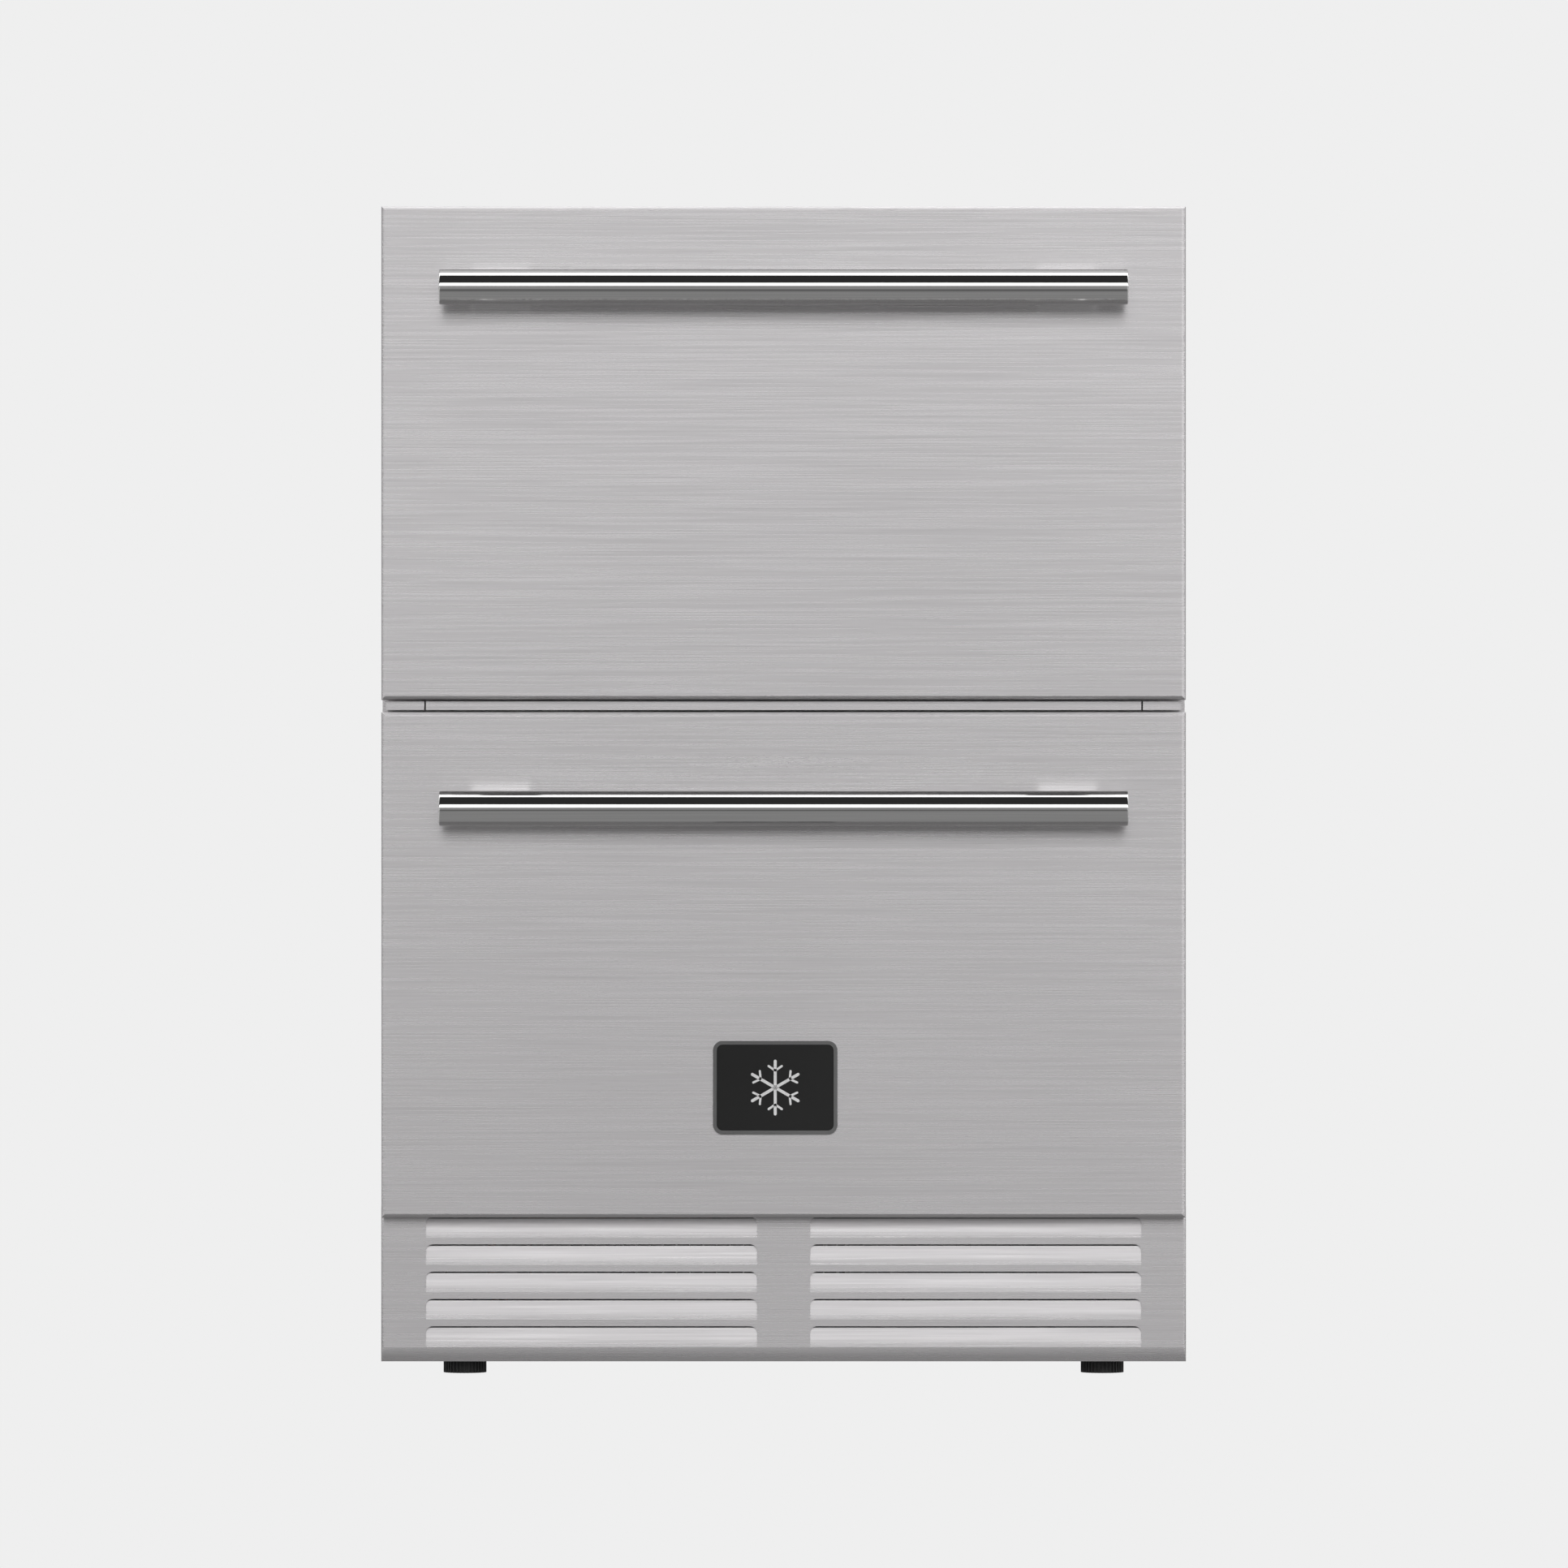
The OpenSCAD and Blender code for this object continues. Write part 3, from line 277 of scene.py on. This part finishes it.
def moulded(name, low, high, roughness, grain, depth=0.15, metallic=0.0, specular=0.5):
    """Moulded or painted surface: two close colours, a fine grain and slow changes of gloss."""
    nodes, shader, made = material(name)
    fine = nodes.noise((grain, grain, grain), detail=3.0)
    slow = nodes.noise((9, 9, 9), detail=2.0)
    nodes.put(shader.inputs["Base Color"], nodes.mix(nodes.ramp(slow, 0.3, 0.7, 0.0, 1.0), low, high))
    nodes.put(shader.inputs["Roughness"], nodes.ramp(slow, 0.3, 0.7, roughness - 0.04, roughness + 0.06))
    shader.inputs["Metallic"].default_value = metallic
    shader.inputs["Specular IOR Level"].default_value = specular
    nodes.put(shader.inputs["Normal"], nodes.bump(fine, depth, 0.0003))
    return made


def foot_rubber():
    """Black moulded foot with dust low down."""
    nodes, shader, made = material("foot_rubber")
    height = nodes.add("ShaderNodeSeparateXYZ")
    nodes.put(height.inputs[0], nodes.scaled((1, 1, 1)))
    dust = nodes.noise((500, 500, 500), detail=3.0)
    low = nodes.ramp(height.outputs[2], 0.0, 0.006, 0.5, 0.0)
    nodes.put(shader.inputs["Base Color"], nodes.mix(
        nodes.maths("MULTIPLY", low, nodes.ramp(dust, 0.45, 0.65, 0.0, 1.0)), grey(0.025), grey(0.075)))
    nodes.put(shader.inputs["Roughness"], nodes.ramp(dust, 0.3, 0.7, 0.45, 0.65))
    nodes.put(shader.inputs["Normal"], nodes.bump(dust, 0.2, 0.0002))
    return made


def foam():
    """Sprayed insulating foam with its fine cells."""
    nodes, shader, made = material("foam")
    cells = nodes.cells((700, 700, 700))
    cell = nodes.ramp(cells.outputs["Distance"], 0.0, 0.7, 0.0, 1.0)
    nodes.put(shader.inputs["Base Color"],
              nodes.mix(cell, (0.5, 0.4, 0.2, 1.0), (0.8, 0.7, 0.42, 1.0)))
    shader.inputs["Roughness"].default_value = 0.9
    nodes.put(shader.inputs["Normal"], nodes.bump(cells.outputs["Distance"], 0.6, 0.0005))
    return made


def lamp_diffuser():
    """White diffuser with ribs across the strip."""
    nodes, shader, made = material("lamp_diffuser")
    wave = nodes.add("ShaderNodeTexWave", bands_direction="X")
    nodes.put(wave.inputs["Vector"], nodes.scaled((1, 1, 1)))
    wave.inputs["Scale"].default_value = 120.0
    nodes.put(shader.inputs["Base Color"],
              nodes.mix(wave.outputs["Fac"], (0.8, 0.81, 0.8, 1.0), (0.9, 0.9, 0.88, 1.0)))
    nodes.put(shader.inputs["Roughness"], nodes.ramp(wave.outputs["Fac"], 0.0, 1.0, 0.2, 0.35))
    nodes.put(shader.inputs["Normal"], nodes.bump(wave.outputs["Fac"], 0.5, 0.0006))
    return made


def display_glass():
    """Dark window with a faint grid of unlit dots behind it."""
    nodes, shader, made = material("display_glass")
    dots = nodes.cells((600, 600, 600))
    dots.inputs["Randomness"].default_value = 0.0
    dot = nodes.ramp(dots.outputs["Distance"], 0.15, 0.3, 1.0, 0.0)
    nodes.put(shader.inputs["Base Color"],
              nodes.mix(dot, (0.008, 0.012, 0.02, 1.0), (0.03, 0.06, 0.09, 1.0)))
    nodes.put(shader.inputs["Roughness"], nodes.ramp(nodes.noise((60, 60, 60)), 0.3, 0.7, 0.04, 0.1))
    return made


# ---- Dressing the CAD nodes ----

MATERIALS = {
    "front_steel": brushed_steel("front_steel", *LEVEL_GRAIN),
    "top_steel": brushed_steel("top_steel", *TOP_GRAIN, tone=0.36, roughness=0.62, spread=0.1, stretch=0.0),
    "grille_steel": brushed_steel("grille_steel", *LEVEL_GRAIN),
    "polished": polished_steel(),
    "zinc": zinc_steel(),
    "aluminium": aluminium(),
    "copper": copper(),
    "foam": foam(),
    "white": moulded("white_plastic", (0.74, 0.75, 0.76, 1.0), (0.79, 0.8, 0.8, 1.0), 0.28, 420, 0.05),
    "black": moulded("black_plastic", grey(0.02), grey(0.03), 0.5, 900, 0.3),
    "paint": moulded("black_paint", grey(0.012), grey(0.022), 0.3, 260, 0.1),
    "rubber": moulded("gasket_rubber", grey(0.07), grey(0.1), 0.6, 700, 0.2),
    "foot": foot_rubber(),
    "display": display_glass(),
    "lamp": lamp_diffuser(),
    "button": moulded("button_plastic", grey(0.42), grey(0.48), 0.4, 800, 0.15),
    "badge_frame": moulded("badge_frame", grey(0.15), grey(0.18), 0.35, 500, 0.1, 0.3),
    "badge_face": moulded("badge_face", grey(0.014), grey(0.017), 0.34, 900, 0.08, specular=0.25),
}

DRESS = {
    "front_steel": ["upper_skin", "lower_skin", "side_panel_left", "side_panel_right", "front_sill",
                    "mullion"],
    "top_steel": ["top_panel"],
    "grille_steel": ["toe_grille"],
    "polished": ["upper_handle_bar", "lower_handle_bar", "upper_handle_posts", "lower_handle_posts"],
    "zinc": ["back_panel", "base_pan", "machine_deck", "rear_cover", "panel_screws", "upper_handle_screws",
             "lower_handle_screws", "upper_cabinet_rails", "lower_cabinet_rails", "upper_mid_rails",
             "lower_mid_rails", "upper_drawer_rails", "lower_drawer_rails"],
    "aluminium": ["condenser_coil", "evaporator_coil", "upper_bin", "lower_bin"],
    "copper": ["refrigerant_lines"],
    "foam": ["foam_core", "upper_foam", "lower_foam"],
    "white": ["inner_liner", "upper_inner_panel", "lower_inner_panel", "evaporator_cover"],
    "black": ["condenser_fan_frame", "evaporator_fan_frame", "condenser_fan_rotor", "evaporator_fan_rotor",
              "control_console", "drip_tray", "power_inlet"],
    "paint": ["compressor"],
    "rubber": ["compressor_grommets", "upper_gasket", "lower_gasket"],
    "foot": ["foot_front_left", "foot_front_right", "foot_rear_left", "foot_rear_right"],
    "display": ["display_window"],
    "lamp": ["led_lamp"],
    "button": ["button_power", "button_colder", "button_warmer", "button_light"],
    "badge_frame": ["badge_frame"],
    "badge_face": ["badge_face"],
}


def dress(name, made):
    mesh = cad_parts[name].data
    mesh.materials.clear()
    mesh.materials.append(made)


for key, names in DRESS.items():
    for node_name in names:
        dress(node_name, MATERIALS[key])


# ---- Badge emblem ----

def rounded_bar(mesh, length, width, depth, place, angle):
    """Adds a bar with round ends, standing out of the X-Z plane towards -Y."""
    outline = []
    for end in (0, 1):
        for k in range(END_STEPS + 1):
            turn = math.radians(90 + 180 * end + 180 * k / END_STEPS)
            x = (length / 2) * (1 if end else -1) + width / 2 * math.cos(turn)
            outline.append((x, width / 2 * math.sin(turn)))
    turned = []
    for x, z in outline:
        turned.append((x * math.cos(angle) - z * math.sin(angle), x * math.sin(angle) + z * math.cos(angle)))
    back = [mesh.verts.new((place[0] + x, place[1], place[2] + z)) for x, z in turned]
    front = [mesh.verts.new((place[0] + x, place[1] - depth, place[2] + z)) for x, z in turned]
    mesh.faces.new(front)
    mesh.faces.new(list(reversed(back)))
    count = len(turned)
    for k in range(count):
        mesh.faces.new((back[k], back[(k + 1) % count], front[(k + 1) % count], front[k]))


def make_emblem():
    """Plain six-armed frost crystal on the badge, as any cooling appliance may carry."""
    low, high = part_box("badge_face")
    centre = Vector(((low.x + high.x) / 2, low.y + EMBLEM_SUNK, (low.z + high.z) / 2))
    mesh = bmesh.new()
    for k in range(EMBLEM_ARMS):
        angle = math.radians(EMBLEM_START + 360 / EMBLEM_ARMS * k)
        toward = Vector((math.cos(angle), 0, math.sin(angle)))
        middle = centre + toward * (ARM_REACH / 2)
        rounded_bar(mesh, ARM_REACH - ARM_GAP, ARM_WIDTH, EMBLEM_DEPTH, middle, angle)
        for branch in (-1, 1):
            bend = angle + branch * math.radians(BRANCH_ANGLE)
            side = Vector((math.cos(bend), 0, math.sin(bend)))
            middle = centre + toward * BRANCH_AT + side * BRANCH_OUT
            rounded_bar(mesh, BRANCH_LENGTH, BRANCH_WIDTH, EMBLEM_DEPTH, middle, bend)
    bmesh.ops.recalc_face_normals(mesh, faces=mesh.faces)
    data = bpy.data.meshes.new("badge_emblem")
    mesh.to_mesh(data)
    mesh.free()
    emblem = bpy.data.objects.new("badge_emblem", data)
    bpy.context.scene.collection.objects.link(emblem)
    data.materials.append(moulded("emblem_metal", grey(0.84), grey(0.88), 0.34, 700, 0.1, 0.9))
    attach(emblem, "lower_drawer")


make_emblem()


# ---- Studio ----

def make_floor():
    """Pale paper floor: even to the camera, and in reflections grey in front and paler elsewhere."""
    mesh = bmesh.new()
    bmesh.ops.create_circle(mesh, cap_ends=True, segments=FLOOR_SEGMENTS, radius=FLOOR_RADIUS)
    data = bpy.data.meshes.new("floor")
    mesh.to_mesh(data)
    mesh.free()
    floor = bpy.data.objects.new("floor", data)
    floor.location.z = -FLOOR_DROP
    bpy.context.scene.collection.objects.link(floor)
    made = bpy.data.materials.new("floor_paper")
    made.use_nodes = True
    nodes = Nodes(made.node_tree)
    path = nodes.add("ShaderNodeLightPath")
    seen = nodes.add("ShaderNodeEmission")
    seen.inputs[0].default_value = grey(PAPER)
    mirrored = nodes.add("ShaderNodeEmission")
    place = nodes.scaled((1, 1, 0))
    reach = nodes.add("ShaderNodeVectorMath", operation="LENGTH")
    nodes.put(reach.inputs[0], place)
    ground = nodes.add("ShaderNodeSeparateXYZ")
    nodes.put(ground.inputs[0], place)
    beside = nodes.ramp(nodes.maths("ABSOLUTE", ground.outputs[0]), BESIDE_FROM, BESIDE_TO, 0.0, FLOOR_AWAY)
    behind = nodes.ramp(ground.outputs[1], BEHIND_FROM, BEHIND_TO, 0.0, FLOOR_AWAY)
    inner, middle, outer = FLOOR_REACHES
    near = nodes.ramp(reach.outputs["Value"], inner, middle, FLOOR_NEAR, FLOOR_RING)
    far = nodes.ramp(reach.outputs["Value"], middle, outer, 0.0, FLOOR_FAR)
    away = nodes.maths("MAXIMUM", beside, behind)
    nodes.put(mirrored.inputs[1], nodes.maths("ADD", nodes.maths("ADD", near, far), away))
    mix = nodes.add("ShaderNodeMixShader")
    nodes.put(mix.inputs[0], path.outputs["Is Camera Ray"])
    nodes.put(mix.inputs[1], mirrored.outputs[0])
    nodes.put(mix.inputs[2], seen.outputs[0])
    output = nodes.add("ShaderNodeOutputMaterial")
    nodes.put(output.inputs["Surface"], mix.outputs[0])
    data.materials.append(made)


def band(nodes, angle, low, high, edge, level):
    """Soft-edged band of light between two elevations, in degrees."""
    rise = nodes.ramp(angle, low - edge, low + edge, 0.0, 1.0)
    fall = nodes.ramp(angle, high - edge, high + edge, 1.0, 0.0)
    return nodes.maths("MULTIPLY", nodes.maths("MULTIPLY", rise, fall), level)


def make_world():
    """Studio surroundings: a wide soft key in front, a strip overhead and grey walls."""
    world = bpy.data.worlds.new("studio")
    bpy.context.scene.world = world
    world.use_nodes = True
    nodes = Nodes(world.node_tree)
    way = nodes.add("ShaderNodeSeparateXYZ")
    nodes.put(way.inputs[0], nodes.add("ShaderNodeTexCoord").outputs["Generated"])
    forward = nodes.maths("MULTIPLY", way.outputs[1], -1.0)
    angle = nodes.maths("MULTIPLY", nodes.maths("ARCTAN2", way.outputs[2], forward), 180 / math.pi)
    walls = nodes.maths("ADD", band(nodes, angle, **WALLS), DIM)
    key = band(nodes, angle, **KEY)
    top = band(nodes, angle, **TOP)
    back = band(nodes, angle, **BACK)
    right = nodes.ramp(way.outputs[0], -SIDE_REACH, SIDE_REACH, SIDE_LEFT, SIDE_RIGHT, smooth=False)
    lights = nodes.maths("ADD", nodes.maths("ADD", key, top), back)
    level = nodes.maths("MULTIPLY", nodes.maths("ADD", lights, walls), right)
    path = nodes.add("ShaderNodeLightPath")
    seen = nodes.add("ShaderNodeBackground")
    seen.inputs[0].default_value = grey(PAPER)
    lit = nodes.add("ShaderNodeBackground")
    nodes.put(lit.inputs[1], level)
    lit.inputs[0].default_value = grey(1.0)
    mix = nodes.add("ShaderNodeMixShader")
    nodes.put(mix.inputs[0], path.outputs["Is Camera Ray"])
    nodes.put(mix.inputs[1], lit.outputs[0])
    nodes.put(mix.inputs[2], seen.outputs[0])
    output = nodes.add("ShaderNodeOutputWorld")
    nodes.put(output.inputs[0], mix.outputs[0])


def make_camera():
    """Level camera, square on to the drawer fronts."""
    data = bpy.data.cameras.new("camera")
    data.sensor_width = SENSOR_MM
    data.lens = FOCAL_MM
    data.clip_end = CLIP_END
    camera = bpy.data.objects.new("camera", data)
    face_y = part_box("upper_skin")[0].y
    camera.location = (CAMERA_ACROSS, face_y - FRONT_DISTANCE, CAMERA_HEIGHT)
    camera.rotation_euler = (math.radians(90), 0, 0)
    bpy.context.scene.collection.objects.link(camera)
    bpy.context.scene.camera = camera


make_floor()
make_world()
make_camera()
bpy.context.scene.view_settings.view_transform = "Standard"
